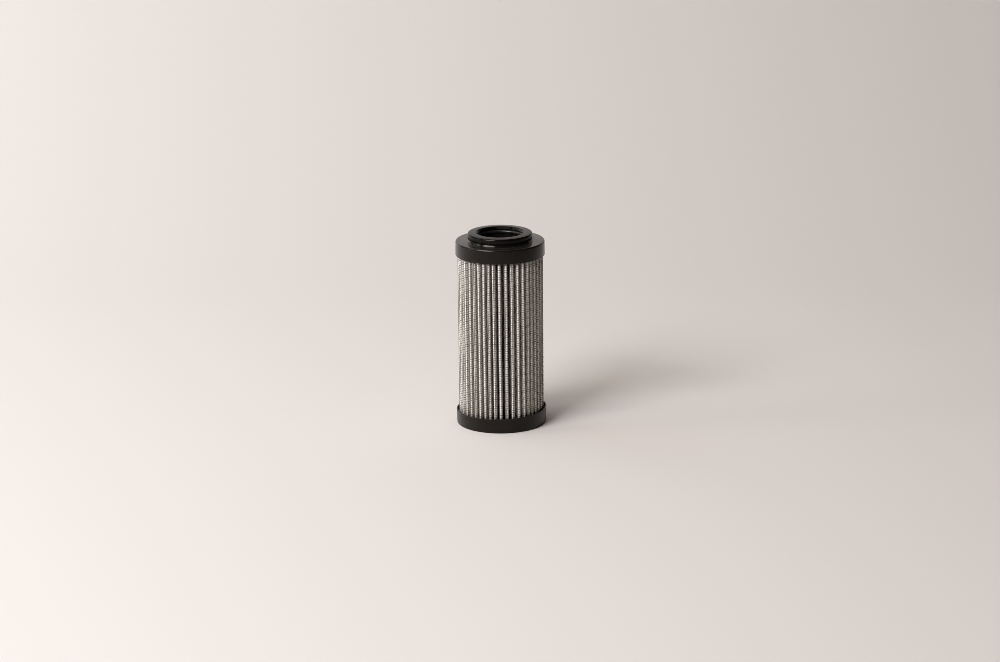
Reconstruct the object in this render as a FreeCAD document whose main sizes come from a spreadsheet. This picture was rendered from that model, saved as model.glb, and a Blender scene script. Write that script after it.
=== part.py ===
import FreeCAD, Part
import os
from math import cos, floor, pi, sin, sqrt

import Sketcher

# Pleated pressure filter element, standing on its closed end, in millimetres.
# The origin is the middle of the base and +Z runs up the axis through the open spigot bore.

doc = FreeCAD.newDocument("filter_element")

# Driving dimensions
SIZES = {
    # overall
    "element_height": 114.8,
    "cap_diameter": 52.0,
    "bore_diameter": 26.0,
    # top end cap
    "collar_height": 4.8,
    "collar_wall": 5.9,
    "boss_height": 1.2,
    "boss_step": 0.3,
    "boss_edge_round": 0.25,
    "flange_thickness": 2.0,
    "skirt_depth": 8.3,
    "skirt_wall": 0.7,
    "skirt_flare": 0.12,
    "sleeve_wall": 1.0,
    "sleeve_depth": 5.0,
    "sleeve_lead": 0.4,
    "flange_edge_round": 0.5,
    "skirt_edge_round": 0.25,
    # seal and the ring that traps it
    "seal_section": 2.62,
    "seal_bite": 0.2,
    "seal_room": 0.1,
    "groove_width": 3.2,
    "lip_thickness": 1.6,
    "mouth_lead": 0.75,
    "mouth_depth": 1.2,
    "rim_round": 0.35,
    "tongue_width": 0.8,
    "tongue_height": 0.6,
    "tongue_play": 0.1,
    # bottom end cap
    "cup_height": 8.7,
    "cup_overhang": 0.5,
    "cup_wall": 0.6,
    "cup_flare": 0.25,
    "cup_sleeve_wall": 1.5,
    "base_thickness": 2.0,
    "base_edge_round": 0.5,
    "cored_depth": 0.6,
    "cored_inner_diameter": 18.0,
    "cored_outer_diameter": 42.0,
    # perforated core
    "core_play": 0.2,
    "core_wall": 0.8,
    "core_hole_diameter": 6.0,
    "core_hole_count": 6,
    "core_row_pitch": 11.5,
    # pleated pack, from the outside in
    "pack_play": 0.45,
    "pack_core_play": 0.2,
    "outer_mesh_thickness": 0.34,
    "outer_fleece_thickness": 0.1,
    "media_thickness": 0.16,
    "inner_fleece_thickness": 0.1,
    "inner_mesh_thickness": 0.2,
    "pleat_gap": 0.15,
    "groove_floor": 0.34,
    "slow_lean": 0.37,
    "quick_lean": 0.56,
    # seam clip
    "clip_wall": 0.2,
    "clip_play": 0.05,
    "clip_leg": 4.0,
    # adhesive
    "potting_bed": 1.0,
    "potting_depth": 3.5,
    "potting_play": 0.05,
}

sheet = doc.addObject("Spreadsheet::Sheet", "sizes")
for row, (alias, number) in enumerate(SIZES.items(), 1):
    sheet.set(f"A{row}", alias)
    sheet.set(f"B{row}", str(number))
    sheet.setAlias(f"B{row}", alias)
doc.recompute()


def size(alias):
    """Read one driving dimension from the sheet."""
    return float(sheet.get(alias))


def value(expression):
    """Work out an expression over the sheet."""
    return float(sheet.evalExpression(expression))


# Heights, as expressions over the sheet, from the rim down and from the base up
RIM = "sizes.element_height"
FLANGE_TOP = f"({RIM} - sizes.collar_height)"
BOSS_TOP = f"({FLANGE_TOP} + sizes.boss_height)"
LIP_UNDERSIDE = f"({RIM} - sizes.lip_thickness)"
GROOVE_FLOOR = f"({LIP_UNDERSIDE} - sizes.groove_width)"
CHANNEL_ROOF = f"({FLANGE_TOP} - sizes.flange_thickness)"
SKIRT_EDGE = f"({FLANGE_TOP} - sizes.skirt_depth)"
SLEEVE_END = f"({CHANNEL_ROOF} - sizes.sleeve_depth)"
PACK_TOP = f"({CHANNEL_ROOF} - sizes.potting_bed)"
CUP_RIM = "sizes.cup_height"
CUP_FLOOR = "sizes.base_thickness"
PACK_FOOT = f"({CUP_FLOOR} + sizes.potting_bed)"

# Radii, from the bore out and from the skirt in
BORE = "(sizes.bore_diameter / 2)"
COLLAR = f"({BORE} + sizes.collar_wall)"
BOSS = f"({COLLAR} + sizes.boss_step)"
SEAL_CENTRE = f"({BORE} - sizes.seal_bite + sizes.seal_section / 2)"
GROOVE = f"({SEAL_CENTRE} + sizes.seal_section / 2 + sizes.seal_room)"
TONGUE_CENTRE = f"(({GROOVE} + {COLLAR}) / 2)"
SLEEVE = f"({BORE} + sizes.sleeve_wall)"
CORE_INSIDE = f"({SLEEVE} + sizes.core_play)"
CORE_OUTSIDE = f"({CORE_INSIDE} + sizes.core_wall)"
CAP = "(sizes.cap_diameter / 2)"
SKIRT_FOOT = f"({CAP} + sizes.skirt_flare)"
SKIRT_INSIDE = f"({CAP} - sizes.skirt_wall)"
PACK_OUTSIDE = f"({SKIRT_INSIDE} - sizes.pack_play)"
PACK_INSIDE = f"({CORE_OUTSIDE} + sizes.pack_core_play)"
CUP_MOUTH = f"({CAP} + sizes.cup_overhang)"
CUP_BASE = f"({CUP_MOUTH} - sizes.cup_flare)"
CUP_INSIDE = f"({CUP_MOUTH} - sizes.cup_wall)"
CUP_FLOOR_EDGE = f"({CUP_INSIDE} - sizes.cup_flare)"
CUP_SLEEVE_BORE = f"({SLEEVE} - sizes.cup_sleeve_wall)"

# Thickness of the folded webs together, and half the width of one pleat
PACK_THICKNESS = ("(sizes.outer_mesh_thickness + sizes.outer_fleece_thickness + sizes.media_thickness"
                  " + sizes.inner_fleece_thickness + sizes.inner_mesh_thickness)")
HALF_PLEAT = f"({PACK_THICKNESS} + sizes.pleat_gap / 2)"


def origin_plane(body, role):
    return next(feature for feature in body.Origin.OriginFeatures if feature.Role == role)


def outline(body, name, role, corners):
    """A closed sketch whose corners are pairs of expressions, each bound to the sheet."""
    sketch = body.newObject("Sketcher::SketchObject", name)
    sketch.AttachmentSupport = [(origin_plane(body, role), "")]
    sketch.MapMode = "FlatFace"
    places = [FreeCAD.Vector(value(across), value(along), 0) for across, along in corners]
    for number, place in enumerate(places):
        sketch.addGeometry(Part.LineSegment(place, places[(number + 1) % len(places)]))
    for number, (across, along) in enumerate(corners):
        before = (number - 1) % len(corners)
        sketch.addConstraint(Sketcher.Constraint("Coincident", before, 2, number, 1))
        for kind, expression, reach in (("DistanceX", across, places[number].x),
                                        ("DistanceY", along, places[number].y)):
            index = sketch.addConstraint(Sketcher.Constraint(kind, -1, 1, number, 1, reach))
            sketch.setExpression(f"Constraints[{index}]", expression)
    return sketch


def turned(label, corners):
    """A piece turned about Z from its half section."""
    body = doc.addObject("PartDesign::Body", label)
    body.Label = label
    sketch = outline(body, label + "_section", "XZ_Plane", corners)
    turn = body.newObject("PartDesign::Revolution", label + "_turn")
    turn.Profile = sketch
    turn.ReferenceAxis = (sketch, ["V_Axis"])
    turn.Angle = 360
    doc.recompute()
    return body


def round_ring(body, name, radius, spots):
    """Round the circular edges that run at the given radii and heights."""
    near = 0.001
    wanted = [(value(across), value(along)) for across, along in spots]
    names = []
    rough = body.Tip
    for number, edge in enumerate(rough.Shape.Edges, 1):
        if not isinstance(edge.Curve, Part.Circle):
            continue
        for across, along in wanted:
            if abs(edge.Curve.Radius - across) < near and abs(edge.Curve.Center.z - along) < near:
                names.append(f"Edge{number}")
    fillet = body.newObject("PartDesign::Fillet", name)
    fillet.Base = (rough, names)
    fillet.setExpression("Radius", radius)
    doc.recompute()


# Top end cap: flange, skirt over the pack, boss with the lower half of the seal groove and
# an inner sleeve that centres the core
top_end_cap = turned("top_end_cap", [
    (SKIRT_FOOT, SKIRT_EDGE),
    (CAP, FLANGE_TOP),
    (BOSS, FLANGE_TOP),
    (BOSS, BOSS_TOP),
    (f"{TONGUE_CENTRE} + sizes.tongue_width / 2", BOSS_TOP),
    (f"{TONGUE_CENTRE} + sizes.tongue_width / 2", f"{BOSS_TOP} + sizes.tongue_height"),
    (f"{TONGUE_CENTRE} - sizes.tongue_width / 2", f"{BOSS_TOP} + sizes.tongue_height"),
    (f"{TONGUE_CENTRE} - sizes.tongue_width / 2", BOSS_TOP),
    (GROOVE, BOSS_TOP),
    (GROOVE, GROOVE_FLOOR),
    (BORE, GROOVE_FLOOR),
    (BORE, SLEEVE_END),
    (f"{SLEEVE} - sizes.sleeve_lead", SLEEVE_END),
    (SLEEVE, f"{SLEEVE_END} + sizes.sleeve_lead"),
    (SLEEVE, CHANNEL_ROOF),
    (SKIRT_INSIDE, CHANNEL_ROOF),
    (SKIRT_INSIDE, SKIRT_EDGE),
])
round_ring(top_end_cap, "flange_edge", "sizes.flange_edge_round", [(CAP, FLANGE_TOP)])
round_ring(top_end_cap, "boss_edge", "sizes.boss_edge_round", [(BOSS, BOSS_TOP)])
round_ring(top_end_cap, "skirt_edge", "sizes.skirt_edge_round", [(SKIRT_FOOT, SKIRT_EDGE)])

# Seal retainer: the upper part of the collar, seated on the boss over the weld tongue, with a
# tapered mouth that leads the spigot in
seal_retainer = turned("seal_retainer", [
    (COLLAR, BOSS_TOP),
    (COLLAR, RIM),
    (f"{BORE} + sizes.mouth_lead", RIM),
    (BORE, f"{RIM} - sizes.mouth_depth"),
    (BORE, LIP_UNDERSIDE),
    (GROOVE, LIP_UNDERSIDE),
    (GROOVE, BOSS_TOP),
    (f"{TONGUE_CENTRE} - sizes.tongue_width / 2 - sizes.tongue_play", BOSS_TOP),
    (f"{TONGUE_CENTRE} - sizes.tongue_width / 2 - sizes.tongue_play",
     f"{BOSS_TOP} + sizes.tongue_height + sizes.tongue_play"),
    (f"{TONGUE_CENTRE} + sizes.tongue_width / 2 + sizes.tongue_play",
     f"{BOSS_TOP} + sizes.tongue_height + sizes.tongue_play"),
    (f"{TONGUE_CENTRE} + sizes.tongue_width / 2 + sizes.tongue_play", BOSS_TOP),
])
round_ring(seal_retainer, "collar_rim", "sizes.rim_round", [(COLLAR, RIM)])

# Seal in its groove, standing proud of the bore wall by its bite
bore_o_ring = doc.addObject("Part::Torus", "bore_o_ring")
bore_o_ring.Label = "bore_o_ring"
bore_o_ring.setExpression("Radius1", SEAL_CENTRE)
bore_o_ring.setExpression("Radius2", "sizes.seal_section / 2")
bore_o_ring.setExpression(".Placement.Base.z", f"{GROOVE_FLOOR} + sizes.groove_width / 2")

# Bottom end cap: a closed cup with a cored base and a sleeve like the top one
bottom_end_cap = turned("bottom_end_cap", [
    ("0", "0"),
    ("sizes.cored_inner_diameter / 2", "0"),
    ("sizes.cored_inner_diameter / 2", "sizes.cored_depth"),
    ("sizes.cored_outer_diameter / 2", "sizes.cored_depth"),
    ("sizes.cored_outer_diameter / 2", "0"),
    (CUP_BASE, "0"),
    (CUP_MOUTH, CUP_RIM),
    (CUP_INSIDE, CUP_RIM),
    (CUP_FLOOR_EDGE, CUP_FLOOR),
    (SLEEVE, CUP_FLOOR),
    (SLEEVE, f"{CUP_FLOOR} + sizes.sleeve_depth - sizes.sleeve_lead"),
    (f"{SLEEVE} - sizes.sleeve_lead", f"{CUP_FLOOR} + sizes.sleeve_depth"),
    (CUP_SLEEVE_BORE, f"{CUP_FLOOR} + sizes.sleeve_depth"),
    (CUP_SLEEVE_BORE, CUP_FLOOR),
    ("0", CUP_FLOOR),
])
round_ring(bottom_end_cap, "base_edge", "sizes.base_edge_round", [(CUP_BASE, "0")])

# Perforated core: a tube with staggered rows of round holes, set out from its middle
core_tube = turned("core_tube", [
    (CORE_OUTSIDE, PACK_FOOT),
    (CORE_OUTSIDE, PACK_TOP),
    (CORE_INSIDE, PACK_TOP),
    (CORE_INSIDE, PACK_FOOT),
])
pack_length = value(f"{PACK_TOP} - {PACK_FOOT}")
row_pairs = floor((pack_length / size("core_row_pitch") - 1) / 2)
hole_step = 360 / size("core_hole_count")


def hole_rows(name, turn, rows):
    """Pocket one hole through the wall, then repeat it up the tube and round it."""
    sketch = core_tube.newObject("Sketcher::SketchObject", name + "_circle")
    sketch.AttachmentSupport = [(origin_plane(core_tube, "XZ_Plane"), "")]
    sketch.MapMode = "FlatFace"
    sketch.AttachmentOffset = FreeCAD.Placement(
        FreeCAD.Vector(0, 0, 0), FreeCAD.Rotation(FreeCAD.Vector(0, 1, 0), turn))
    lowest = f"({PACK_FOOT} + {PACK_TOP}) / 2 - sizes.core_row_pitch * {rows - 1}"
    sketch.addGeometry(Part.Circle(FreeCAD.Vector(0, value(lowest), 0), FreeCAD.Vector(0, 0, 1),
                                   size("core_hole_diameter") / 2))
    sketch.addConstraint(Sketcher.Constraint("PointOnObject", 0, 3, -2))
    height = sketch.addConstraint(Sketcher.Constraint("DistanceY", -1, 1, 0, 3, value(lowest)))
    sketch.setExpression(f"Constraints[{height}]", lowest)
    across = sketch.addConstraint(Sketcher.Constraint("Diameter", 0, size("core_hole_diameter")))
    sketch.setExpression(f"Constraints[{across}]", "sizes.core_hole_diameter")
    pocket = core_tube.newObject("PartDesign::Pocket", name)
    pocket.Profile = sketch
    pocket.Type = "Length"
    pocket.setExpression("Length", CORE_OUTSIDE + " + sizes.core_wall")
    doc.recompute()
    many = core_tube.newObject("PartDesign::MultiTransform", name + "_pattern")
    many.Originals = [pocket]
    up = doc.addObject("PartDesign::LinearPattern", name + "_up")
    up.Direction = (sketch, ["V_Axis"])
    up.setExpression("Length", f"sizes.core_row_pitch * {2 * (rows - 1)}")
    up.Occurrences = rows
    around = doc.addObject("PartDesign::PolarPattern", name + "_around")
    around.Axis = (sketch, ["V_Axis"])
    around.Angle = 360
    around.setExpression("Occurrences", "sizes.core_hole_count")
    many.Transformations = [up, around]
    core_tube.Tip = many
    doc.recompute()


hole_rows("even_holes", 0, row_pairs + 1)
hole_rows("odd_holes", hole_step / 2, row_pairs)

# Pleated pack: nested webs folded together, each web one closed zigzag
LAYERS = ("outer_mesh", "outer_fleece", "filter_media", "inner_fleece", "inner_mesh")
THICKNESS = ("outer_mesh_thickness", "outer_fleece_thickness", "media_thickness",
             "inner_fleece_thickness", "inner_mesh_thickness")
half_pleat = value(HALF_PLEAT)
fold_root = value(f"{PACK_INSIDE} + {PACK_THICKNESS}")
pleat_count = floor(2 * pi * fold_root / (2 * half_pleat + size("groove_floor")))
fold_centre = value(PACK_OUTSIDE) - half_pleat


def pleat_frame(number):
    """Root point, direction to the tip and side direction of one pleat; pleat 0 faces -Y."""
    turn = 2 * pi * number / pleat_count
    lean = (size("slow_lean") * sin(3 * turn + 2.93)
            + size("quick_lean") * sin(5 * turn + 5.26)) / fold_centre
    root = FreeCAD.Vector(fold_root * sin(turn), -fold_root * cos(turn), 0)
    tip = FreeCAD.Vector(fold_centre * sin(turn + lean), -fold_centre * cos(turn + lean), 0)
    ahead = (tip - root).normalize()
    return root, tip, ahead, FreeCAD.Vector(-ahead.y, ahead.x, 0)


def at_radius(start, ahead, radius):
    """The point of a straight flank at the given distance from the axis."""
    along = start.dot(ahead)
    return start + ahead * (sqrt(radius ** 2 - start.dot(start) + along ** 2) - along)


def crown(tip, ahead, side, half, form):
    """The corners of one fold and the edges over it: an arc, three flats round it, or one flat."""
    rise = tip - side * half
    fall = tip + side * half
    if form == "round":
        return [rise, fall], [Part.Arc(rise, tip + ahead * half, fall).toShape()]
    shoulder = half * (sqrt(2) - 1) if form == "bevelled" else half
    corners = [rise + ahead * shoulder, tip + ahead * half - side * shoulder,
               tip + ahead * half + side * shoulder, fall + ahead * shoulder]
    if form == "square":
        corners = corners[1:3]
    return corners, [Part.LineSegment(a, b).toShape() for a, b in zip(corners, corners[1:])]


def zigzag(depth, form):
    """The closed line that runs round the pack at a depth below its outside surface."""
    half = half_pleat - depth
    edges = []
    feet = []
    for number in range(pleat_count):
        root, tip, ahead, side = pleat_frame(number)
        foot_in = at_radius(root - side * half, ahead, fold_root - depth)
        foot_out = at_radius(root + side * half, ahead, fold_root - depth)
        corners, over = crown(tip, ahead, side, half, form)
        edges.append(Part.LineSegment(foot_in, corners[0]).toShape())
        edges.extend(over)
        edges.append(Part.LineSegment(corners[-1], foot_out).toShape())
        feet.append((foot_in, foot_out))
    for (_, leaving), (arriving, _) in zip(feet, feet[1:] + feet[:1]):
        edges.append(Part.LineSegment(leaving, arriving).toShape())
    return Part.Wire(Part.__sortEdges__(edges))


def pleated_web(label, outside, inside):
    """One web of the pack, folded round all its pleats, from the lower cap to the upper."""
    ring = Part.makeFace([outside, inside], "Part::FaceMakerBullseye")
    web = doc.addObject("Part::Feature", label)
    web.Label = label
    web.Shape = ring.extrude(FreeCAD.Vector(0, 0, pack_length))
    web.Placement = FreeCAD.Placement(FreeCAD.Vector(0, 0, value(PACK_FOOT)), FreeCAD.Rotation())
    return web


webs = []
depth = 0
outside = zigzag(depth, "round")
for layer, alias in zip(LAYERS, THICKNESS):
    depth += size(alias)
    inside = zigzag(depth, "square" if layer == LAYERS[-1] else "bevelled")
    webs.append(pleated_web(layer, outside, inside))
    outside = inside

# Seam clip: a folded strip gripping the pleat where the ends of the webs meet, at the back,
# between the two beds of adhesive
CLIP_IN = f"({HALF_PLEAT} + sizes.clip_play)"
CLIP_OUT = f"({CLIP_IN} + sizes.clip_wall)"
CLIP_FOOT = f"({PACK_FOOT} + sizes.potting_depth)"
CLIP_TOP = f"({PACK_TOP} - sizes.potting_depth)"
_, seam_tip, seam_ahead, _ = pleat_frame(pleat_count // 2)
seam_clip = doc.addObject("PartDesign::Body", "seam_clip")
seam_clip.Label = "seam_clip"
clip_section = outline(seam_clip, "clip_section", "XY_Plane", [
    ("0 - sizes.clip_leg", f"0 - {CLIP_OUT}"),
    (CLIP_OUT, f"0 - {CLIP_OUT}"),
    (CLIP_OUT, CLIP_OUT),
    ("0 - sizes.clip_leg", CLIP_OUT),
    ("0 - sizes.clip_leg", CLIP_IN),
    (CLIP_IN, CLIP_IN),
    (CLIP_IN, f"0 - {CLIP_IN}"),
    ("0 - sizes.clip_leg", f"0 - {CLIP_IN}"),
])
clip_length = seam_clip.newObject("PartDesign::Pad", "clip_length")
clip_length.Profile = clip_section
clip_length.setExpression("Length", f"{CLIP_TOP} - {CLIP_FOOT}")
doc.recompute()
seam_clip.Placement = FreeCAD.Placement(
    FreeCAD.Vector(seam_tip.x, seam_tip.y, value(CLIP_FOOT)),
    FreeCAD.Rotation(FreeCAD.Vector(1, 0, 0), seam_ahead))


def cylinder(name, radius, foot, height):
    """A round bar on the axis, all of its sizes bound to the sheet."""
    bar = doc.addObject("Part::Cylinder", name)
    bar.setExpression("Radius", radius)
    bar.setExpression("Height", height)
    bar.setExpression(".Placement.Base.z", foot)
    return bar


def cut(name, base, tool):
    result = doc.addObject("Part::Cut", name)
    result.Base = base
    result.Tool = tool
    result.Label = name
    return result


def potting(label, wall, foot, hollow_foot):
    """The adhesive in one cap: a bed under the pack that also fills its grooves from outside."""
    height = "sizes.potting_bed + sizes.potting_depth"
    block = cylinder(label + "_block", f"{wall} - sizes.potting_play", foot, height)
    passage = cylinder(label + "_passage", f"{SLEEVE} + sizes.potting_play", foot, height)
    envelope = doc.addObject("Part::Feature", label + "_envelope")
    envelope.Shape = Part.Face(zigzag(-size("potting_play"), "bevelled")).extrude(
        FreeCAD.Vector(0, 0, size("potting_depth")))
    envelope.Placement = FreeCAD.Placement(FreeCAD.Vector(0, 0, value(hollow_foot)), FreeCAD.Rotation())
    return cut(label, cut(label + "_ring", block, passage), envelope)


top_potting = potting("top_potting", SKIRT_INSIDE, CLIP_TOP, CLIP_TOP)
bottom_potting = potting("bottom_potting", CUP_FLOOR_EDGE, CUP_FLOOR, PACK_FOOT)

doc.recompute()

pieces = [top_end_cap, seal_retainer, bore_o_ring, bottom_end_cap, core_tube, *webs, seam_clip,
          top_potting, bottom_potting]
for thing in doc.Objects:
    if "Invalid" in thing.State or "Error" in thing.State:
        raise RuntimeError(f"{thing.Label} did not build: {thing.State}")
for piece in pieces:
    if piece.Shape.isNull() or not piece.Shape.isValid():
        raise RuntimeError(f"{piece.Label} has no valid shape")

os.makedirs("parts", exist_ok=True)
for piece in pieces:
    piece.Shape.exportStep(f"parts/{piece.Label}.step")
    print(f"{piece.Label}: {len(piece.Shape.Solids)} solid, {piece.Shape.Volume:.1f} mm3")
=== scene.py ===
from math import cos, pi, radians, sin, sqrt, tan

import bpy
import numpy as np
from mathutils import Matrix, Vector


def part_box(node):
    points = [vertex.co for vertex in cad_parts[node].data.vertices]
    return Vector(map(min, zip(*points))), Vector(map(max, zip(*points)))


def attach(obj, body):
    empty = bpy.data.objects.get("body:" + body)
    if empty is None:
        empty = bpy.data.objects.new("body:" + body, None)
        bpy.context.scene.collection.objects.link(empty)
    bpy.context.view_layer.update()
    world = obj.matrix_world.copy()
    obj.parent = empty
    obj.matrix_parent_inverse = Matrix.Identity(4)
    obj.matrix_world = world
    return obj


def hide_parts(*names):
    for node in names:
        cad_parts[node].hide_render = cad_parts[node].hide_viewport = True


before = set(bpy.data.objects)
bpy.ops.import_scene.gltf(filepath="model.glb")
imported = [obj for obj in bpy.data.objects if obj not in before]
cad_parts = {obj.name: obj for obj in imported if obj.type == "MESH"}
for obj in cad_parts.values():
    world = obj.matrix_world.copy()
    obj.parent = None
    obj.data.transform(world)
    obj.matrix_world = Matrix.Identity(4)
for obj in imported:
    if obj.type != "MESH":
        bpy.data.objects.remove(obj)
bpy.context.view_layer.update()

MM = 0.001

# Heights and radii read from the CAD pieces, in metres
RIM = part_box("seal_retainer")[1].z
BOSS_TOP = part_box("seal_retainer")[0].z
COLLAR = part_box("seal_retainer")[1].x
SKIRT_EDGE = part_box("top_end_cap")[0].z
SKIRT_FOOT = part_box("top_end_cap")[1].x
CUP_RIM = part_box("bottom_end_cap")[1].z
CUP_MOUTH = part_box("bottom_end_cap")[1].x
PACK_FOOT, PACK_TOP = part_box("outer_mesh")[0].z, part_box("outer_mesh")[1].z
PACK_HEIGHT = PACK_TOP - PACK_FOOT

# The other heights and radii of the top cap and its collar
BORE = 13.0 * MM
FLANGE_TOP = BOSS_TOP - 1.2 * MM
GROOVE = 15.52 * MM
GROOVE_FLOOR = FLANGE_TOP
GROOVE_ROOF = RIM - 1.6 * MM
WELD = (GROOVE + COLLAR) / 2
WELD_TONGUE = 0.4 * MM           # half the thickness of the welded tongue
WELD_SLOT = 0.5 * MM             # half the width of the slot that takes it
BOSS = COLLAR + 0.3 * MM
CAP = SKIRT_FOOT - 0.12 * MM
SKIRT_INSIDE = CAP - 0.7 * MM
CHANNEL_ROOF = FLANGE_TOP - 2.0 * MM
SLEEVE = BORE + 1.0 * MM
SLEEVE_END = CHANNEL_ROOF - 5.0 * MM

# The seal in the bore
SEAL_SECTION = 1.31 * MM         # radius of its round section
SEAL_PROUD = 0.2 * MM            # how far it stands inside the bore
SEAL_HEIGHT = GROOVE_FLOOR + 1.6 * MM
SEAL_FLASH = 0.03 * MM           # the mould's parting line
SEAL_STEPS = 28                  # points round the section

# The bottom cap
CUP_FLOOR = 2.0 * MM
CUP_FLARE = 0.25 * MM
CUP_WALL = 0.6 * MM
CUP_SLEEVE_BORE = SLEEVE - 1.5 * MM
CUP_SLEEVE_TOP = CUP_FLOOR + 5.0 * MM
CORED_INSIDE, CORED_OUTSIDE, CORED_DEPTH = 9.0 * MM, 21.0 * MM, 0.6 * MM
CUP_LEAN = 0.7 * MM              # the rim's rise on the right and its drop on the left
CUP_LIFT = 1.1 * MM              # the lower edge's rise on the right

# Turned pieces
AROUND = 224                     # points round the axis
ARC_STEP = radians(12)           # longest step along a rounding
ON_AXIS = 1e-7                   # a radius below this is a point on the axis
TURNED_CREASE, STRIP_CREASE = 28, 40     # degrees of bend past which an edge stays sharp

# The fold of the pack
PLEATS = 44
SEAM_PLEAT = PLEATS // 2
HALF_PLEAT = 0.975 * MM          # half the width of a pleat
FOLD_ROOT = 16.1 * MM            # radius of the groove floors
FOLD_CENTRE = SKIRT_INSIDE - 0.45 * MM - HALF_PLEAT      # radius of the centres of the folds
RISE, OVER, FALL, FLOOR = range(4)       # the parts of a pleat: up a flank, over the fold, down, across
LEANS = ((0.37 * MM, 3, 2.93), (0.56 * MM, 5, 5.26))     # sideways lean: size, waves round the pack, start
TWIST = 0.45 * MM                # how far the folds lean over the height of the pack
WANDER = 0.12 * MM               # largest size of the first of two waves in a single fold
WEB_LEVELS = 9                   # rows of points up a folded web

# The wire cloth
WIRE_PITCH = 1.384 * MM
WIRE_RADIUS = 0.163 * MM
WIRE_SIDES = 4
WIRE_CRIMP = 0.08 * MM           # how far a wire swings in and out
CLOTH_DEPTH = 0.08 * MM          # the wires' middle below the outside of the pack
PRESSED_DEPTH = 0.17 * MM        # the same under the seam strip
WOVEN_REACH = 2.6 * MM           # how far down the flanks, out of sight beyond that, the weave is modelled
COARSE_ROWS = 8                  # an upright out of sight has a point every so many rows

# The seam strip, measured from the outside of the pack
STRIP_LEG = 4.0 * MM
STRIP_GRIP = 5.0 * MM            # length of cloth that it holds flat on each flank
STRIP_INSIDE, STRIP_OUTSIDE = -0.05 * MM, -0.25 * MM
STRIP_STEPS = 8
STRIP_LEVELS = 25

rng = np.random.default_rng(17)


def new_object(name, points, faces, crease=None):
    """A smooth mesh in the scene; edges bent by more than crease degrees stay sharp."""
    mesh = bpy.data.meshes.new(name)
    mesh.from_pydata(points, [], faces)
    mesh.validate()
    mesh.update()
    mesh.shade_smooth()
    if crease is not None:
        mesh.set_sharp_from_angle(angle=radians(crease))
    thing = bpy.data.objects.new(name, mesh)
    bpy.context.scene.collection.objects.link(thing)
    return thing


def finish_piece(piece, material, slot, *nodes):
    """Give a piece its material, hang it under the root body and hide the CAD pieces that it replaces."""
    piece.data.materials.append(material)
    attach(piece, "root")
    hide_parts(*nodes)


# Node materials


class Shade:
    """A small builder of node materials round one Principled shader."""

    def __init__(self, name, color, roughness, **inputs):
        self.material = bpy.data.materials.new(name)
        self.material.use_nodes = True
        self.tree = self.material.node_tree
        self.shader = self.tree.nodes["Principled BSDF"]
        self.shader.inputs["Base Color"].default_value = (*color, 1)
        self.shader.inputs["Roughness"].default_value = roughness
        for key, number in inputs.items():
            self.shader.inputs[key.replace("_", " ")].default_value = number
        self.place = self.node("ShaderNodeTexCoord").outputs["Object"]

    def node(self, kind, **settings):
        made = self.tree.nodes.new(kind)
        for key, setting in settings.items():
            setattr(made, key, setting)
        return made

    def link(self, source, target):
        self.tree.links.new(source, target)

    def drive(self, socket, source):
        self.link(source, self.shader.inputs[socket])

    def stretched(self, x, y, z):
        """Object coordinates stretched along each axis."""
        mapping = self.node("ShaderNodeMapping")
        mapping.inputs["Scale"].default_value = (x, y, z)
        self.link(self.place, mapping.inputs["Vector"])
        return mapping.outputs["Vector"]

    def noise(self, size, detail=3.0, rough=0.55, vector=None, distortion=0.0):
        """A noise from 0 to 1 whose cells are about this size, in metres."""
        made = self.node("ShaderNodeTexNoise")
        made.inputs["Scale"].default_value = 1 / size
        made.inputs["Detail"].default_value = detail
        made.inputs["Roughness"].default_value = rough
        made.inputs["Distortion"].default_value = distortion
        self.link(vector or self.place, made.inputs["Vector"])
        return made.outputs["Fac"]

    def between(self, value, low, high, to_low=0.0, to_high=1.0):
        """A value eased from the span low to high onto another span."""
        made = self.node("ShaderNodeMapRange", interpolation_type="SMOOTHSTEP")
        spans = (("From Min", low), ("From Max", high), ("To Min", to_low), ("To Max", to_high))
        for key, number in spans:
            made.inputs[key].default_value = number
        self.link(value, made.inputs["Value"])
        return made.outputs["Result"]

    def mix(self, share, first, second):
        """A colour mixed from two colours or sockets."""
        made = self.node("ShaderNodeMix", data_type="RGBA")
        self.link(share, made.inputs["Factor"])
        for key, color in (("A", first), ("B", second)):
            socket = [s for s in made.inputs if s.name == key and s.type == "RGBA"][0]
            if isinstance(color, tuple):
                socket.default_value = (*color, 1)
            else:
                self.link(color, socket)
        return [s for s in made.outputs if s.type == "RGBA"][0]

    def maths(self, operation, first, second):
        made = self.node("ShaderNodeMath", operation=operation)
        for socket, number in zip(made.inputs, (first, second)):
            if isinstance(number, (int, float)):
                socket.default_value = number
            else:
                self.link(number, socket)
        return made.outputs["Value"]

    def bump(self, height, distance, before=None):
        """Bump of a depth in metres, over an earlier bump if one is given."""
        made = self.node("ShaderNodeBump")
        made.inputs["Distance"].default_value = distance
        made.inputs["Strength"].default_value = 1.0
        self.link(height, made.inputs["Height"])
        if before is not None:
            self.link(before, made.inputs["Normal"])
        self.link(made.outputs["Normal"], self.shader.inputs["Normal"])
        return made.outputs["Normal"]

    def cloudy(self, cloud, low, high):
        """A roughness that follows a noise, whose values lie mostly between 0.3 and 0.7."""
        return self.between(cloud, 0.3, 0.7, low, high)

    def dust(self, amount):
        """Fine dust: most on faces that look up, a few specks elsewhere."""
        split = self.node("ShaderNodeSeparateXYZ")
        self.link(self.node("ShaderNodeNewGeometry").outputs["True Normal"], split.inputs["Vector"])
        upward = self.between(split.outputs["Z"], 0.3, 0.95)
        grains = self.between(self.noise(0.9 * MM, detail=5.0, rough=0.75), 0.25, 0.85)
        specks = self.between(self.noise(0.35 * MM, detail=1.0), 0.70, 0.80, 0.0, 0.10)
        settled = self.maths("MULTIPLY", self.maths("MULTIPLY", upward, grains), amount)
        return self.maths("ADD", settled, specks)


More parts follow.
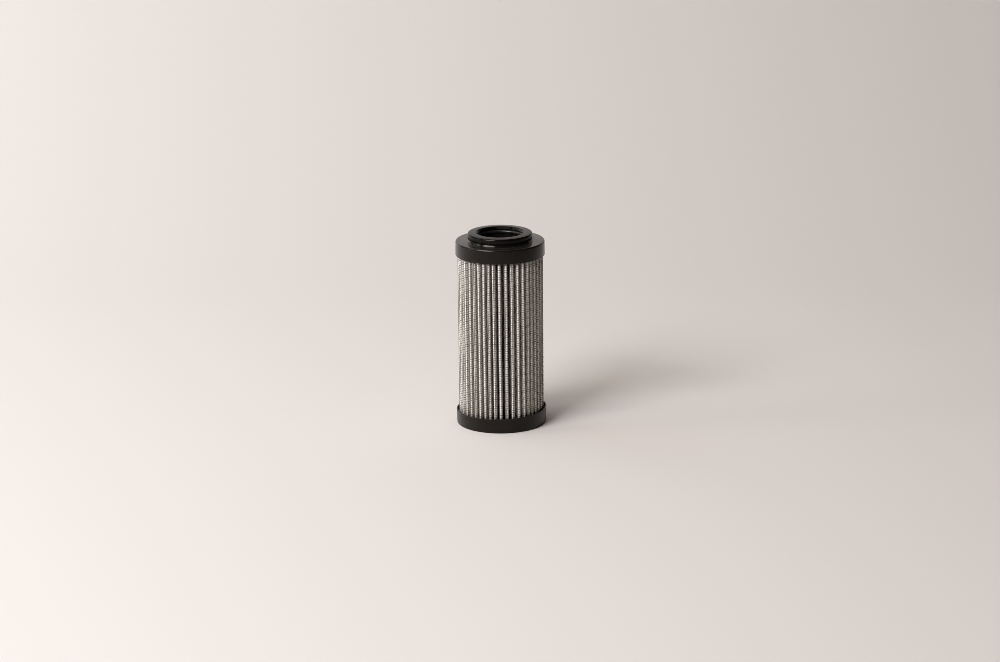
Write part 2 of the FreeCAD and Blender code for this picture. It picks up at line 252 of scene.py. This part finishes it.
DUST = (0.16, 0.15, 0.14)
WARM = (1, 0.93, 0.87)
POLISHED = (COLLAR + 0.4 * MM, COLLAR + 0.7 * MM)        # where the polish of the collar's foot ends


def moulded_plastic(name, color, gloss, grain, ior, tint, settled):
    """Black moulded plastic: fine skin grain, cloudy gloss, faint flow marks and settled dust.

    tint darkens only what the face reflects head on, so that its grazing sheen stays full.
    """
    shade = Shade(name, color, gloss[1], IOR=ior, Specular_Tint=(*(tint * part for part in WARM), 1))
    radius = shade.node("ShaderNodeVectorMath", operation="LENGTH")
    shade.link(shade.stretched(1, 1, 0), radius.inputs[0])
    # The foot of the collar is polished, and dust doesn't stay on it
    outer = shade.between(radius.outputs["Value"], *POLISHED)
    cloud = shade.noise(7 * MM, detail=4.0)
    flow = shade.noise(3 * MM, detail=2.0, vector=shade.stretched(1, 1, 4), distortion=0.6)
    blend = shade.maths("ADD", shade.maths("MULTIPLY", cloud, 0.6), shade.maths("MULTIPLY", flow, 0.4))
    polish = shade.between(outer, 0, 1, 0.65, 1)
    shade.drive("Roughness", shade.maths("MULTIPLY", shade.cloudy(blend, *gloss), polish))
    dull = tuple(1.25 * c + 0.0005 for c in color)
    base = shade.mix(shade.between(cloud, 0.35, 0.7), color, dull)
    dust = shade.maths("MULTIPLY", shade.dust(settled), outer)
    shade.drive("Base Color", shade.mix(dust, base, DUST))
    skin = shade.bump(shade.maths("MULTIPLY", shade.noise(0.22 * MM, detail=2.0), outer), grain)
    shade.bump(shade.maths("MULTIPLY", flow, outer), 3 * grain, before=skin)
    return shade.material


def seal_rubber():
    """Smooth, slightly oily rubber."""
    shade = Shade("seal_rubber", (0.012, 0.011, 0.010), 0.32, Specular_IOR_Level=0.35)
    shade.drive("Roughness", shade.cloudy(shade.noise(2 * MM), 0.22, 0.4))
    shade.bump(shade.noise(0.12 * MM, detail=1.0), 0.004 * MM)
    return shade.material


def coated_wire():
    """Steel wire under a grey resin coat, cloudy in colour and gloss."""
    light, dark = (0.35, 0.328, 0.298), (0.22, 0.206, 0.187)
    shade = Shade("coated_wire", (0.42, 0.405, 0.385), 0.4, Specular_IOR_Level=0.5, Metallic=0.7)
    cloud = shade.noise(1.3 * MM, detail=3.0)
    shade.drive("Base Color", shade.mix(shade.between(cloud, 0.35, 0.68), light, dark))
    shade.drive("Roughness", shade.cloudy(shade.noise(0.6 * MM), 0.3, 0.5))
    shade.bump(shade.noise(0.09 * MM, detail=2.0), 0.012 * MM)
    return shade.material


def fleece(name, color, dark):
    """Felted fibres: a matt web with fine crossing strands."""
    shade = Shade(name, color, 0.9, Specular_IOR_Level=0.2)
    strand = 0.10 * MM
    upright, crossed = (shade.noise(strand, vector=shade.stretched(*stretch), distortion=1.5)
                        for stretch in ((1, 1, 0.25), (0.3, 0.3, 1.2)))
    felt = shade.maths("MAXIMUM", upright, crossed)
    shade.drive("Base Color", shade.mix(shade.between(felt, 0.4, 0.7), dark, color))
    shade.bump(felt, 0.02 * MM)
    return shade.material


def plain_steel(name, color, roughness):
    """Drawn steel strip: fine lines along its height and a cloudy tin coat."""
    shade = Shade(name, color, roughness, Metallic=1.0)
    lines = shade.noise(0.08 * MM, detail=2.0, vector=shade.stretched(1, 1, 0.02))
    spangle = shade.noise(2.5 * MM)
    shade.drive("Roughness", shade.cloudy(spangle, roughness - 0.08, roughness + 0.12))
    duller = tuple(0.8 * c for c in color)
    shade.drive("Base Color", shade.mix(shade.between(spangle, 0.35, 0.7), color, duller))
    shade.bump(lines, 0.003 * MM)
    return shade.material


def woven_steel():
    """The inner cloth, out of sight: its wires across as bump."""
    shade = Shade("woven_steel", (0.5, 0.49, 0.47), 0.4, Metallic=0.9)
    wave = shade.node("ShaderNodeTexWave", wave_type="BANDS", bands_direction="Z")
    wave.inputs["Scale"].default_value = 1 / (3.1 * MM)
    shade.link(shade.place, wave.inputs["Vector"])
    shade.bump(wave.outputs["Fac"], 0.08 * MM)
    return shade.material


def cast_resin():
    """Dark adhesive that set in the caps: glossy, with an uneven skin."""
    shade = Shade("cast_resin", (0.03, 0.027, 0.024), 0.25, Specular_IOR_Level=0.5)
    shade.drive("Roughness", shade.cloudy(shade.noise(1.5 * MM), 0.15, 0.4))
    shade.bump(shade.noise(0.7 * MM, detail=2.0), 0.06 * MM)
    return shade.material


CAP_PLASTIC = moulded_plastic("cap_plastic", (0.0058, 0.0047, 0.0042), (0.16, 0.25),
                              grain=0.004 * MM, ior=1.6, tint=0.25, settled=0.14)
COLLAR_PLASTIC = moulded_plastic("collar_plastic", (0.0025, 0.0020, 0.0017), (0.17, 0.25),
                                 grain=0.0015 * MM, ior=1.21, tint=1.0, settled=0.02)
CUP_PLASTIC = moulded_plastic("cup_plastic", (0.0075, 0.0058, 0.0048), (0.30, 0.40),
                              grain=0.004 * MM, ior=1.6, tint=0.28, settled=0.14)
RUBBER = seal_rubber()
WIRE = coated_wire()
FLEECE = fleece("fleece", (0.965, 0.925, 0.86), (0.88, 0.84, 0.775))
GLASS_WEB = fleece("glass_web", (0.88, 0.87, 0.84), (0.75, 0.74, 0.71))
STEEL = plain_steel("plain_steel", (0.55, 0.54, 0.52), 0.34)
WOVEN_STEEL = woven_steel()
RESIN = cast_resin()


# Turned pieces


def rounded_profile(corners):
    """A closed half section whose corners are (radius, height, rounding), with arcs at roundings."""
    line = []
    for number, (r, z, rounding) in enumerate(corners):
        here = Vector((r, z))
        if rounding <= 0:
            line.append(here)
            continue
        before = Vector(corners[number - 1][:2]) - here
        after = Vector(corners[(number + 1) % len(corners)][:2]) - here
        half_angle = before.angle(after) / 2
        back = rounding / tan(half_angle)
        inward = (before.normalized() + after.normalized()).normalized()
        centre = here + inward * (rounding / sin(half_angle))
        first = here + before.normalized() * back - centre
        last = here + after.normalized() * back - centre
        bend = first.angle_signed(last)
        steps = max(3, round(abs(bend) / ARC_STEP))
        for step in range(steps + 1):
            line.append(centre + Matrix.Rotation(-bend * step / steps, 2) @ first)
    return line


def turned(name, corners, crease=TURNED_CREASE):
    """A ring turned about Z from its half section; a corner on the axis becomes one point."""
    line = rounded_profile(corners)
    points, rows = [], []
    for spot in line:
        if spot.x < ON_AXIS:
            rows.append([len(points)] * AROUND)
            points.append((0, 0, spot.y))
            continue
        rows.append(list(range(len(points), len(points) + AROUND)))
        for step in range(AROUND):
            turn = 2 * pi * step / AROUND
            points.append((spot.x * cos(turn), spot.x * sin(turn), spot.y))
    faces = []
    for lower, upper in zip(rows, rows[1:] + rows[:1]):
        for step in range(AROUND):
            after = (step + 1) % AROUND
            loop = [lower[step], lower[after], upper[after], upper[step]]
            loop = [p for k, p in enumerate(loop) if p != loop[k - 1]]
            if len(loop) > 2:
                faces.append(loop)
    return new_object(name, points, faces, crease)


def top_cap():
    """The cap over the pack: flange, skirt, the foot of the collar and the tongue of the weld."""
    piece = turned("moulded_top_cap", [
        (SKIRT_FOOT, SKIRT_EDGE, 0.25 * MM),
        (CAP, FLANGE_TOP - 0.7 * MM, 0.3 * MM),
        (CAP - 0.36 * MM, FLANGE_TOP, 0.3 * MM),
        (BOSS + 0.2 * MM, FLANGE_TOP, 0.1 * MM),
        (BOSS + 0.16 * MM, FLANGE_TOP + 0.3 * MM, 0.2 * MM),
        (COLLAR + 0.02 * MM, BOSS_TOP - 0.15 * MM, 0.1 * MM),
        (COLLAR, BOSS_TOP, 0),
        (WELD + WELD_TONGUE, BOSS_TOP, 0),
        (WELD + WELD_TONGUE, BOSS_TOP + 0.6 * MM, 0.1 * MM),
        (WELD - WELD_TONGUE, BOSS_TOP + 0.6 * MM, 0.1 * MM),
        (WELD - WELD_TONGUE, BOSS_TOP, 0),
        (GROOVE, BOSS_TOP, 0),
        (GROOVE, GROOVE_FLOOR, 0.2 * MM),
        (BORE, GROOVE_FLOOR, 0.12 * MM),
        (BORE, SLEEVE_END, 0.15 * MM),
        (SLEEVE - 0.4 * MM, SLEEVE_END, 0),
        (SLEEVE, SLEEVE_END + 0.4 * MM, 0),
        (SLEEVE, CHANNEL_ROOF, 0),
        (SKIRT_INSIDE, CHANNEL_ROOF, 0),
        (SKIRT_INSIDE, SKIRT_EDGE, 0.15 * MM),
    ])
    finish_piece(piece, CAP_PLASTIC, "cap_plastic", "top_end_cap")


def retainer():
    """The ring welded on over the seal: the upper part of the collar, with its sloping edges."""
    piece = turned("collar_ring", [
        (COLLAR, BOSS_TOP, 0.06 * MM),
        (COLLAR, RIM - 0.9 * MM, 0.6 * MM),
        (COLLAR - 0.4 * MM, RIM - 0.15 * MM, 0.6 * MM),
        (BORE + 1.7 * MM, RIM, 1.5 * MM),
        (BORE + 0.95 * MM, RIM - 0.06 * MM, 0.2 * MM),
        (BORE, RIM - 1.3 * MM, 0.2 * MM),
        (BORE, GROOVE_ROOF, 0.1 * MM),
        (GROOVE, GROOVE_ROOF, 0.2 * MM),
        (GROOVE, BOSS_TOP, 0),
        (WELD - WELD_SLOT, BOSS_TOP, 0),
        (WELD - WELD_SLOT, BOSS_TOP + 0.7 * MM, 0),
        (WELD + WELD_SLOT, BOSS_TOP + 0.7 * MM, 0),
        (WELD + WELD_SLOT, BOSS_TOP, 0),
    ])
    finish_piece(piece, COLLAR_PLASTIC, "collar_plastic", "seal_retainer")


def o_ring():
    """The seal in its groove, with the parting line of its mould inside and outside."""
    centre = BORE - SEAL_PROUD + SEAL_SECTION
    corners = []
    for step in range(SEAL_STEPS):
        turn = -2 * pi * step / SEAL_STEPS
        proud = SEAL_SECTION + (SEAL_FLASH if step in (0, SEAL_STEPS // 2) else 0)
        corners.append((centre + proud * cos(turn), SEAL_HEIGHT + proud * sin(turn), 0))
    piece = turned("o_ring", corners, crease=None)
    finish_piece(piece, RUBBER, "seal_rubber", "bore_o_ring")


def bottom_cap():
    """The closed cup that the element stands on."""
    piece = turned("moulded_bottom_cap", [
        (0, 0, 0),
        (CORED_INSIDE, 0, 0.1 * MM),
        (CORED_INSIDE, CORED_DEPTH, 0.1 * MM),
        (CORED_OUTSIDE, CORED_DEPTH, 0.1 * MM),
        (CORED_OUTSIDE, 0, 0.1 * MM),
        (CUP_MOUTH - CUP_FLARE, 0, 0.35 * MM),
        (CUP_MOUTH, CUP_RIM, 0.12 * MM),
        (CUP_MOUTH - CUP_WALL, CUP_RIM, 0.12 * MM),
        (CUP_MOUTH - CUP_WALL - CUP_FLARE, CUP_FLOOR, 0.3 * MM),
        (SLEEVE, CUP_FLOOR, 0),
        (SLEEVE, CUP_FLOOR + 4.6 * MM, 0),
        (SLEEVE - 0.4 * MM, CUP_SLEEVE_TOP, 0),
        (CUP_SLEEVE_BORE, CUP_SLEEVE_TOP, 0.15 * MM),
        (CUP_SLEEVE_BORE, CUP_FLOOR, 0.2 * MM),
        (0, CUP_FLOOR, 0),
    ])
    # The cup is a little crooked in the photograph: its rim and its lower edge are higher on the right
    for vertex in piece.data.vertices:
        x, y, z = vertex.co
        out = sqrt(x * x + y * y)
        if z > CUP_FLOOR and out > SLEEVE + 1 * MM:
            vertex.co.z = z + CUP_LEAN * x / CUP_MOUTH * (z - CUP_FLOOR) / (CUP_RIM - CUP_FLOOR)
        elif z < CORED_DEPTH + 0.4 * MM and out > CORED_OUTSIDE + 1 * MM:
            vertex.co.z = z + CUP_LIFT * max(0, x / out) ** 2
    finish_piece(piece, CUP_PLASTIC, "cap_plastic", "bottom_end_cap")


# The fold of the pack, which all the webs and the cloth follow


def pleat_wander():
    """For each pleat, two slow waves that carry its fold a little to one side along its height."""
    waves = []
    for number in range(PLEATS):
        size = 0.0 if number == SEAM_PLEAT else WANDER
        waves.append([(size * rng.uniform(0.3, 1.0) / order,
                       order * pi * rng.uniform(0.7, 1.3),
                       rng.uniform(0, 2 * pi)) for order in (1, 2)])
    return np.array(waves)


WAVES = pleat_wander()


def on_circle(radius, turn):
    """Points at a radius, turned from the side that faces the camera."""
    return np.stack([radius * np.sin(turn), -radius * np.cos(turn)], -1)


def pleat_frame(number, z):
    """Root, fold centre, direction ahead and side direction of pleats at heights z, as arrays."""
    turn = 2 * pi * number / PLEATS
    up = (z - PACK_FOOT) / PACK_HEIGHT
    lean = sum(size * np.sin(waves * turn + start) for size, waves, start in LEANS)
    lean = lean + TWIST * (0.5 - up)
    for order in (0, 1):
        size, speed, start = (WAVES[number % PLEATS, order, column] for column in range(3))
        lean = lean + size * np.sin(speed * up + start)
    root = on_circle(FOLD_ROOT, turn)
    tip = on_circle(FOLD_CENTRE, turn + lean / FOLD_CENTRE)
    ahead = tip - root
    ahead = ahead / np.linalg.norm(ahead, axis=-1, keepdims=True)
    side = np.stack([-ahead[..., 1], ahead[..., 0]], -1)
    return root, tip, ahead, side


def flank_foot(root, ahead, side, half, radius):
    """Where the straight flank on one side of a pleat meets the given radius."""
    start = root + side * half
    along = (start * ahead).sum(-1, keepdims=True)
    reach = np.sqrt(radius ** 2 - (start ** 2).sum(-1, keepdims=True) + along ** 2) - along
    return start + ahead * reach


def fold(number, part, where, depth, z):
    """Points and outward normals on the folded surface at a depth below the pack's outside.

    part is RISE, OVER, FALL or FLOOR, and where runs from 0 to 1 along that part. All arguments are
    arrays of one length, but depth may be one number.
    """
    root, tip, ahead, side = pleat_frame(number, z)
    depth = np.broadcast_to(depth, number.shape)[..., None]
    half = HALF_PLEAT - depth
    floor = FOLD_ROOT - depth
    foot_in = flank_foot(root, ahead, side, -half, floor)
    foot_out = flank_foot(root, ahead, side, half, floor)
    next_root, _, next_ahead, next_side = pleat_frame(number + 1, z)
    next_foot = flank_foot(next_root, next_ahead, next_side, -half, floor)
    share = where[..., None]
    swing = (share - 0.5) * pi
    over = ahead * np.cos(swing) + side * np.sin(swing)
    spots = [foot_in + (tip - side * half - foot_in) * share,
             tip + over * half,
             tip + side * half + (foot_out - tip - side * half) * share,
             foot_out + (next_foot - foot_out) * share]
    normals = [-side, over, side, ahead]
    pick = [part[..., None] == k for k in (RISE, OVER, FALL, FLOOR)]
    height = z[..., None]
    return (np.concatenate([np.select(pick, spots), height], -1),
            np.concatenate([np.select(pick, normals), np.zeros_like(height)], -1))


def part_lengths(depth):
    """Mean lengths of the four parts of one pleat at a depth."""
    number = np.arange(PLEATS)
    middle = np.full(PLEATS, (PACK_FOOT + PACK_TOP) / 2)
    lengths = []
    for part in (RISE, OVER, FALL, FLOOR):
        if part == OVER:
            lengths.append(pi * (HALF_PLEAT - depth))
            continue
        one, two = (fold(number, np.full(PLEATS, part), ends(PLEATS), depth, middle)[0]
                    for ends in (np.zeros, np.ones))
        lengths.append(float(np.linalg.norm(two - one, axis=1).mean()))
    return lengths


# Folded webs


def fold_stations(over):
    """Stations round the whole pack: arrays of pleat number, part and place along the part."""
    one_pleat = [(RISE, 0.0)] + [(OVER, step / over) for step in range(over)] + [(FALL, 0.0), (FLOOR, 0.0)]
    rows = [(number, part, where) for number in range(PLEATS) for part, where in one_pleat]
    return (np.array(column) for column in zip(*rows))


def folded_web(name, outer_depth, inner_depth, over):
    """A closed web folded round all the pleats between two depths."""
    number, part, where = fold_stations(over)
    count = len(number)
    shells = []
    for depth in (outer_depth, inner_depth):
        for z in np.linspace(PACK_FOOT, PACK_TOP, WEB_LEVELS):
            shells.append(fold(number, part, where, depth, np.full(count, z))[0])
    here = np.arange(count)
    after = (here + 1) % count
    inner = WEB_LEVELS * count
    faces = []
    for level in range(WEB_LEVELS - 1):
        low, high = level * count, (level + 1) * count
        faces.append(np.stack([low + here, low + after, high + after, high + here], 1))
        faces.append(np.stack([inner + low + after, inner + low + here,
                               inner + high + here, inner + high + after], 1))
    top = (WEB_LEVELS - 1) * count
    faces.append(np.stack([inner + here, inner + after, after, here], 1))
    faces.append(np.stack([top + here, top + after, inner + top + after, inner + top + here], 1))
    return new_object(name, np.concatenate(shells).tolist(), np.concatenate(faces).tolist())


def webs():
    """The webs inside the cloth, with their depths below the outside of the pack in millimetres."""
    layers = (("folded_fleece", 0.25, 0.44, FLEECE, "media_fleece", "outer_fleece", 8),
              ("folded_media", 0.44, 0.60, GLASS_WEB, "media_glass", "filter_media", 4),
              ("folded_inner_fleece", 0.60, 0.70, FLEECE, "media_fleece", "inner_fleece", 3),
              ("folded_inner_mesh", 0.70, 0.90, WOVEN_STEEL, "inner_steel", "inner_mesh", 2))
    for name, outer, inner, material, slot, node, over in layers:
        web = folded_web(name, outer * MM, inner * MM, over)
        finish_piece(web, material, slot, node)


# The woven cloth

LENGTHS = part_lengths(CLOTH_DEPTH)
PLEAT_LENGTH = sum(LENGTHS)
CLOTH_LENGTH = PLEAT_LENGTH * PLEATS
UPRIGHTS = 2 * round(CLOTH_LENGTH / WIRE_PITCH / 2)      # an even number, so that the weave closes
PITCH = CLOTH_LENGTH / UPRIGHTS
ROWS = round(PACK_HEIGHT / WIRE_PITCH)
HEIGHTS = PACK_FOOT + (np.arange(ROWS) + 0.5) * (PACK_HEIGHT / ROWS)
HALF_FOLD = LENGTHS[OVER] / 2
CROWN = LENGTHS[RISE] + HALF_FOLD        # where along a pleat the fold has its middle
REACH = HALF_FOLD + WOVEN_REACH


def tubes(name, lines, outs, closed):
    """One mesh of many wires; lines are arrays of points, outs arrays of one side direction each."""
    points, faces = [], []
    start = 0
    for line, out in zip(lines, outs):
        ahead = np.roll(line, -1, 0) - np.roll(line, 1, 0) if closed else np.gradient(line, axis=0)
        ahead = ahead / np.linalg.norm(ahead, axis=1, keepdims=True)
        out = out - ahead * (out * ahead).sum(1, keepdims=True)
        out = out / np.linalg.norm(out, axis=1, keepdims=True)
        across = np.cross(ahead, out)
        turns = [2 * pi * k / WIRE_SIDES for k in range(WIRE_SIDES)]
        ring = [line + WIRE_RADIUS * (out * cos(turn) + across * sin(turn)) for turn in turns]
        points.append(np.stack(ring, 1).reshape(-1, 3))
        count = len(line)
        here = np.arange(count if closed else count - 1) * WIRE_SIDES
        after = (here + WIRE_SIDES) % (count * WIRE_SIDES)
        for k in range(WIRE_SIDES):
            j = (k + 1) % WIRE_SIDES
            faces.append(start + np.stack([here + k, here + j, after + j, after + k], 1))
        if not closed:
            end = np.arange(WIRE_SIDES)
            faces.append(start + np.stack([end[::-1], (count - 1) * WIRE_SIDES + end]))
        start += count * WIRE_SIDES
    return new_object(name, np.concatenate(points).tolist(), np.concatenate(faces).tolist())


def locate(arc):
    """Pleat number, part and place along the part of points at arc lengths round the cloth."""
    number = np.floor(arc / PLEAT_LENGTH).astype(int)
    rest = arc - number * PLEAT_LENGTH
    ends = np.cumsum(LENGTHS)
    part = np.minimum(np.searchsorted(ends, rest, side="right"), FLOOR)
    begins = ends - np.array(LENGTHS)
    where = (rest - begins[part]) / np.array(LENGTHS)[part]
    return number % PLEATS, part, np.clip(where, 0, 1)


def off_crown(arc):
    """Distance along the cloth from the nearest fold."""
    return np.abs(arc % PLEAT_LENGTH - CROWN)


def pressed(arc):
    """Where the seam strip holds the cloth flat."""
    return (np.floor(arc / PLEAT_LENGTH) == SEAM_PLEAT) & (off_crown(arc) < HALF_FOLD + STRIP_GRIP)


def ring_stations():
    """Arc lengths of a ring wire's points: four a pitch over a fold, then two, then only corners."""
    fine = 4
    grid = np.arange(fine * UPRIGHTS) * PITCH / fine
    near = off_crown(grid)
    even = np.arange(fine * UPRIGHTS) % 2 == 0
    keep = (near < HALF_FOLD + PITCH / fine) | ((near < REACH) & even)
    feet = np.array([0.0, LENGTHS[RISE] + LENGTHS[OVER] + LENGTHS[FALL]])
    corners = np.concatenate([number * PLEAT_LENGTH + feet for number in range(PLEATS)])
    arc = np.sort(np.concatenate([grid[keep], corners]))
    # Of two points that fall almost together, the first is kept
    apart = np.diff(arc) > PITCH / 10
    return arc[np.concatenate([[True], apart])]


def cloth_rings():
    """The wires that run round the pack and follow its folds, in three pieces up its height."""
    arc = ring_stations()
    number, part, where = locate(arc)
    # The crimp fades over the last third of the reach, and under the seam strip there is none
    fade = np.clip(3 * (1 - off_crown(arc) / (REACH + PITCH)), 0, 1) * ~pressed(arc)
    depth = np.where(pressed(arc), PRESSED_DEPTH, CLOTH_DEPTH)
    lines, outs = [], []
    for row, height in enumerate(HEIGHTS):
        spot, normal = fold(number, part, where, depth, np.full(len(arc), height))
        weave = WIRE_CRIMP * fade * np.cos(pi * (arc / PITCH + row))
        lines.append(spot + normal * weave[:, None])
        outs.append(normal)
    third = ROWS // 3
    spans = (("cloth_rings_lower", 0, third), ("cloth_rings_middle", third, 2 * third),
             ("cloth_rings_upper", 2 * third, ROWS))
    for name, first, last in spans:
        rings = tubes(name, lines[first:last], outs[first:last], closed=True)
        finish_piece(rings, WIRE, "coated_mesh", "outer_mesh")


def cloth_uprights():
    """The wires that run up the pleats, woven over the rings, in two pieces round the pack."""
    seats = np.arange(UPRIGHTS) * PITCH
    number, part, where = locate(seats)
    woven = off_crown(seats) < REACH
    held = pressed(seats)
    lines, outs = [], []
    for wire in range(UPRIGHTS):
        z = HEIGHTS if woven[wire] else HEIGHTS[::COARSE_ROWS]
        count = len(z)
        spot, normal = fold(np.full(count, number[wire]), np.full(count, part[wire]),
                            np.full(count, where[wire]), PRESSED_DEPTH if held[wire] else CLOTH_DEPTH, z)
        if woven[wire] and not held[wire]:
            weave = -WIRE_CRIMP * np.cos(pi * (wire + np.arange(count)))
            spot = spot + normal * weave[:, None]
        lines.append(spot)
        outs.append(normal)
    half = UPRIGHTS // 2
    for name, first, last in (("cloth_uprights_right", 0, half), ("cloth_uprights_left", half, UPRIGHTS)):
        uprights = tubes(name, lines[first:last], outs[first:last], closed=False)
        finish_piece(uprights, WIRE, "coated_mesh", "outer_mesh")


def seam():
    """The folded strip that grips the seam pleat."""
    leg = STRIP_LEG / part_lengths(0)[RISE]
    stations = [(RISE, 1 - leg)] + [(OVER, step / STRIP_STEPS) for step in range(STRIP_STEPS + 1)]
    stations.append((FALL, leg))
    part, where = (np.array(column) for column in zip(*stations))
    count = len(part)
    number = np.full(count, SEAM_PLEAT)
    foot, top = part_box("seam_clip")[0].z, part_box("seam_clip")[1].z
    last = STRIP_LEVELS - 1
    rings = []
    for level in range(STRIP_LEVELS):
        z = np.full(count, foot + (top - foot) * level / last)
        outer = fold(number, part, where, STRIP_OUTSIDE, z)[0]
        inner = fold(number, part, where, STRIP_INSIDE, z)[0]
        rings.append(np.concatenate([outer, inner[::-1]]))
    size = 2 * count
    here = np.arange(size)
    after = (here + 1) % size
    faces = []
    for level in range(last):
        low, high = level * size, (level + 1) * size
        faces.append(np.stack([low + here, low + after, high + after, high + here], 1))
    step = np.arange(count - 1)
    end = np.stack([step, size - 1 - step, size - 2 - step, step + 1], 1)
    for quads in zip(end, last * size + end[:, ::-1]):
        faces.append(np.stack(quads))
    strip = new_object("seam_strip", np.concatenate(rings).tolist(), np.concatenate(faces).tolist(),
                       STRIP_CREASE)
    finish_piece(strip, STEEL, "core_steel", "seam_clip")


def cad_finish():
    """Materials for the CAD nodes that stay."""
    for node, material in (("core_tube", STEEL), ("top_potting", RESIN), ("bottom_potting", RESIN)):
        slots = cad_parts[node].data.materials
        slots.clear()
        slots.append(material)


# Stage, light and camera


def add_aimed(name, data, place, target, roll=0.0):
    """A camera or lamp at a place, turned towards a target and rolled by some degrees."""
    thing = bpy.data.objects.new(name, data)
    thing.location = place
    thing.rotation_mode = "QUATERNION"
    look = (Vector(target) - Vector(place)).to_track_quat("-Z", "Y")
    thing.rotation_quaternion = look @ Matrix.Rotation(radians(roll), 4, "Z").to_quaternion()
    bpy.context.scene.collection.objects.link(thing)
    return thing


def camera():
    """The photograph's viewpoint: a long lens, a little above the element, rolled by half a degree."""
    distance = 1.75
    height = radians(15.66)
    aim = Vector((-0.5 * MM, 0, 54.9 * MM))
    data = bpy.data.cameras.new("camera")
    data.lens = 107.3
    data.sensor_width = 36.0
    data.clip_end = 50
    eye = aim + distance * Vector((0, -cos(height), sin(height)))
    bpy.context.scene.camera = add_aimed("camera", data, eye, aim, roll=-0.55)


def sweep():
    """A seamless sweep of pale paper: floor, bend and wall."""
    near, bend, radius, top, half_width = -2.4, 0.3, 1.3, 3.0, 2.6
    bend_steps = 32
    line = [(near, 0.0), (bend, 0.0)]
    for step in range(1, bend_steps + 1):
        turn = pi / 2 * step / bend_steps
        line.append((bend + radius * sin(turn), radius - radius * cos(turn)))
    line.append((bend + radius, top))
    points = [(x, y, z) for y, z in line for x in (-half_width, half_width)]
    faces = [(2 * k, 2 * k + 1, 2 * k + 3, 2 * k + 2) for k in range(len(line) - 1)]
    paper = new_object("sweep", points, faces)
    shade = Shade("paper", (0.82, 0.775, 0.75), 0.85, Specular_IOR_Level=0.15)
    paper.data.materials.append(shade.material)


def around(side, height, distance):
    """A place seen from the element: degrees left of the camera, degrees up, metres away."""
    a, b = radians(side), radians(height)
    return (-sin(a) * cos(b) * distance, -cos(a) * cos(b) * distance, sin(b) * distance)


def lights():
    """Soft lamps: name, place, target, width and depth, watts and colour."""
    lamps = (
        ("key", around(40.5, 36, 1.8), (-0.04, 0.2, 0.05), (0.86, 0.6), 24.6, (0.98, 0.98, 1.0)),
        ("strip", around(61, 36, 1.8), (0, 0, 0.05), (0.3, 0.3), 3.2, (1.0, 0.98, 0.96)),
        ("overhead", (-0.3, -0.4, 2.0), (0, 0.3, 0.05), (1.6, 1.6), 10.0, (1.0, 0.86, 0.73)),
        ("back_left", (-1.6, 0.9, 1.4), (0.0, 0.6, 0.1), (1.2, 1.2), 7.6, (0.80, 0.92, 1.0)),
        ("backdrop", (-1.5, 0.0, 0.9), (-1.3, 1.0, 0.65), (1.2, 1.2), 13.8, (1.0, 0.98, 0.95)),
    )
    for name, place, target, size, power, color in lamps:
        data = bpy.data.lights.new(name, "AREA")
        data.shape = "RECTANGLE"
        data.size, data.size_y = size
        data.energy = power
        data.color = color
        add_aimed(name, data, place, target)
    world = bpy.data.worlds.new("room")
    world.use_nodes = True
    background = world.node_tree.nodes["Background"].inputs
    background["Color"].default_value = (1.0, 0.97, 0.94, 1)
    background["Strength"].default_value = 0.01
    bpy.context.scene.world = world
    bpy.context.scene.view_settings.view_transform = "Standard"
    # The wires are two or three pixels apart, so the picture keeps its finest detail
    bpy.context.scene.cycles.filter_width = 0.8
    bpy.context.scene.cycles.denoising_prefilter = "NONE"


camera()
sweep()
lights()
top_cap()
retainer()
o_ring()
bottom_cap()
webs()
cloth_rings()
cloth_uprights()
seam()
cad_finish()
